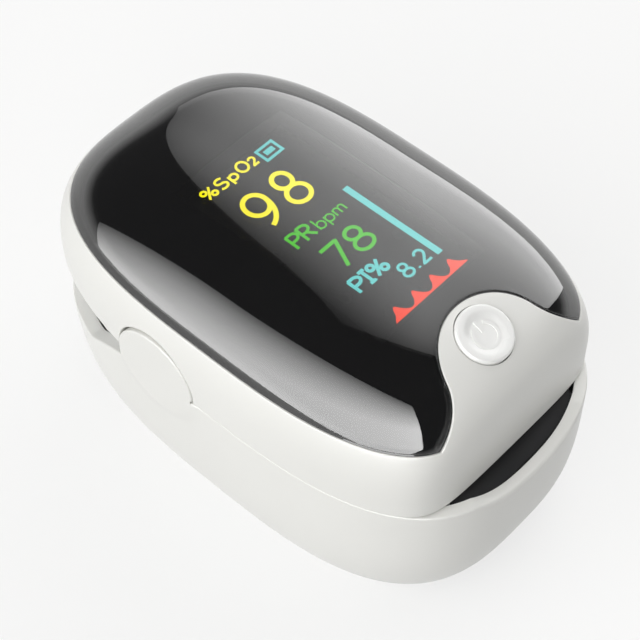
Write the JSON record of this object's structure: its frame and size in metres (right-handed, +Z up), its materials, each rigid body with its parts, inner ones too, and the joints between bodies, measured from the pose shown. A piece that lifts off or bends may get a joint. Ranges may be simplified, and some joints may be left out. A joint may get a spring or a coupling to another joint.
{
  "type": "fingertip pulse oximeter",
  "caption": "Fingertip pulse oximeter: sprung clip of two hinged jaws with padded finger channel, dark display window, power button and sliding cell door.",
  "frame": {"origin": "middle of the footprint, on the surface that the flat base rests on", "axes": "+X to the right when facing the finger opening's far end, +Y from the finger opening to the squeeze end, +Z up through the display"},
  "size_m": [0.036, 0.0578, 0.034],
  "materials": {
    "white_shell": "satin moulded white",
    "grey_frame": "moulded light grey",
    "dark_window": "smoked, polished",
    "soft_pad": "matte silicone",
    "clear_light_window": "clear",
    "display_face": "dark panel with lit figures",
    "board": "solder mask",
    "chip": "moulded package",
    "foam": "closed foam",
    "cell_can": "plain sleeve",
    "spring_steel": "bright wire",
    "contact_metal": "plated",
    "screw_steel": "zinc plated",
    "flex": "amber film",
    "emitter_body": "white package"
  },
  "bodies": {
    "lower_jaw": {"lower_shell": "white_shell", "lower_frame": "grey_frame", "lower_finger_pad": "soft_pad", "detector_window": "clear_light_window", "photodiode": "chip", "sensor_board": "board", "battery_left": "cell_can", "battery_right": "cell_can", "battery_springs": "spring_steel", "battery_contacts": "contact_metal", "battery_bridge": "contact_metal", "lower_screws": "screw_steel", "pivot_pin_left": "spring_steel", "pivot_pin_right": "spring_steel", "torsion_spring_left": "spring_steel", "torsion_spring_right": "spring_steel"},
    "upper_jaw": {"upper_shell": "white_shell", "display_window": "dark_window", "display_gasket": "foam", "oled_panel": "display_face", "main_board": "board", "board_chips": "chip", "upper_frame": "grey_frame", "upper_finger_pad": "soft_pad", "emitter_window": "clear_light_window", "led_emitter": "emitter_body", "switch_board": "board", "tact_switch": "screw_steel", "upper_screws": "screw_steel", "flex_cable": "flex"},
    "button": {"power_button": "white_shell"},
    "door": {"battery_door": "white_shell"}
  },
  "joints": [
    {"name": "jaw_hinge", "type": "hinge", "parent": "lower_jaw", "child": "upper_jaw", "pos_m": [0, 0.0061, 0.0187], "axis": [-1, 0, 0], "range_deg": [0, 14], "stiffness_Nm_per_rad": 0.15, "springref_deg": -20.05, "deforming": ["torsion_spring_left", "torsion_spring_right", "flex_cable"]},
    {"name": "button_press", "type": "slide", "parent": "upper_jaw", "child": "button", "axis": [0, 0.3584, -0.9336], "range_m": [0, 0.0005], "stiffness_N_per_m": 600},
    {"name": "door_slide", "type": "slide", "parent": "lower_jaw", "child": "door", "axis": [0, 1, 0], "range_m": [0, 0.044]}
  ]
}
